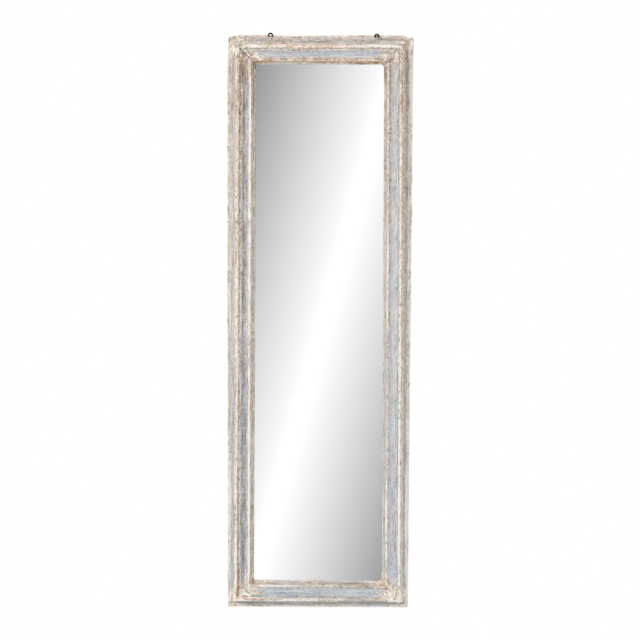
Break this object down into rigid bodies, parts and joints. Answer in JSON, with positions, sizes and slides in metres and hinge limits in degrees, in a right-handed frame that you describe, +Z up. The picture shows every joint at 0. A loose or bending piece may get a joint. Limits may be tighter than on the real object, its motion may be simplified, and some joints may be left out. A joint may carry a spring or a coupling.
{
  "type": "dressing mirror",
  "caption": "Tall full-length wall mirror in a mitred, moulded wooden frame with worn blue-grey paint, hung by screw eyes at its top edge.",
  "frame": {"origin": "middle of the top rail's back face, which lies on the wall", "axes": "+X to the right seen from the front, +Y into the wall, +Z up; the mirror faces -Y"},
  "size_m": [0.565, 0.048, 1.7579],
  "materials": {
    "outer_paint": "chalky grey paint over cream gesso, rubbed through to brown wood",
    "blue_grey_paint": "chalky blue-grey paint over cream gesso, rubbed through to brown wood",
    "slip_paint": "warm grey paint, worn and stained brown at its edges",
    "bare_pine": "bare old pine, sawn and planed",
    "clear_glass": "clear float glass",
    "silvering": "silvered, painted grey behind",
    "brown_paper": "plain brown paper",
    "backing_plywood": "old plywood with an oiled look",
    "dark_felt": "dark wool felt",
    "block_rubber": "dark rubber",
    "aged_brass": "brass, dulled with age",
    "screw_steel": "plain steel, dulled",
    "dowel_wood": "beech dowel",
    "dark_iron": "dark iron wire, lightly rusted"
  },
  "bodies": {
    "frame": {"outer_moulding_left": "outer_paint", "outer_moulding_right": "outer_paint", "outer_moulding_top": "outer_paint", "outer_moulding_bottom": "outer_paint", "cove_moulding_left": "blue_grey_paint", "cove_moulding_right": "blue_grey_paint", "cove_moulding_top": "blue_grey_paint", "cove_moulding_bottom": "blue_grey_paint", "sight_slip_left": "slip_paint", "sight_slip_right": "slip_paint", "sight_slip_top": "slip_paint", "sight_slip_bottom": "slip_paint", "back_stile_left": "bare_pine", "back_stile_right": "bare_pine", "back_rail_top": "bare_pine", "back_rail_bottom": "bare_pine", "mirror_glass": "clear_glass", "mirror_silvering": "silvering", "backing_paper": "brown_paper", "backing_board": "backing_plywood", "glazing_felt_left": "dark_felt", "glazing_felt_right": "dark_felt", "glazing_felt_top": "dark_felt", "glazing_felt_bottom": "dark_felt", "setting_blocks": "block_rubber", "turn_button_screws": "screw_steel", "outer_moulding_screws": "screw_steel", "cove_moulding_screws": "screw_steel", "slip_brads": "screw_steel", "corner_dowels": "dowel_wood", "screw_eye_left": "dark_iron", "screw_eye_right": "dark_iron"},
    "button_left_upper": {"turn_button_left_upper": "aged_brass"},
    "button_left_middle": {"turn_button_left_middle": "aged_brass"},
    "button_left_lower": {"turn_button_left_lower": "aged_brass"},
    "button_right_upper": {"turn_button_right_upper": "aged_brass"},
    "button_right_middle": {"turn_button_right_middle": "aged_brass"},
    "button_right_lower": {"turn_button_right_lower": "aged_brass"},
    "button_top": {"turn_button_top": "aged_brass"},
    "button_bottom": {"turn_button_bottom": "aged_brass"}
  },
  "joints": [
    {"name": "turn_left_upper", "type": "hinge", "parent": "frame", "child": "button_left_upper", "pos_m": [-0.214, -0.00725, -0.313], "axis": [0, 1, 0], "range_deg": [-90, 90]},
    {"name": "turn_left_middle", "type": "hinge", "parent": "frame", "child": "button_left_middle", "pos_m": [-0.214, -0.00725, -0.833], "axis": [0, 1, 0], "range_deg": [-90, 90]},
    {"name": "turn_left_lower", "type": "hinge", "parent": "frame", "child": "button_left_lower", "pos_m": [-0.214, -0.00725, -1.353], "axis": [0, 1, 0], "range_deg": [-90, 90]},
    {"name": "turn_right_upper", "type": "hinge", "parent": "frame", "child": "button_right_upper", "pos_m": [0.214, -0.00725, -0.313], "axis": [0, 1, 0], "range_deg": [-90, 90]},
    {"name": "turn_right_middle", "type": "hinge", "parent": "frame", "child": "button_right_middle", "pos_m": [0.214, -0.00725, -0.833], "axis": [0, 1, 0], "range_deg": [-90, 90]},
    {"name": "turn_right_lower", "type": "hinge", "parent": "frame", "child": "button_right_lower", "pos_m": [0.214, -0.00725, -1.353], "axis": [0, 1, 0], "range_deg": [-90, 90]},
    {"name": "turn_top", "type": "hinge", "parent": "frame", "child": "button_top", "pos_m": [0, -0.00725, -0.0265], "axis": [0, 1, 0], "range_deg": [-90, 90]},
    {"name": "turn_bottom", "type": "hinge", "parent": "frame", "child": "button_bottom", "pos_m": [0, -0.00725, -1.6395], "axis": [0, 1, 0], "range_deg": [-90, 90]}
  ]
}
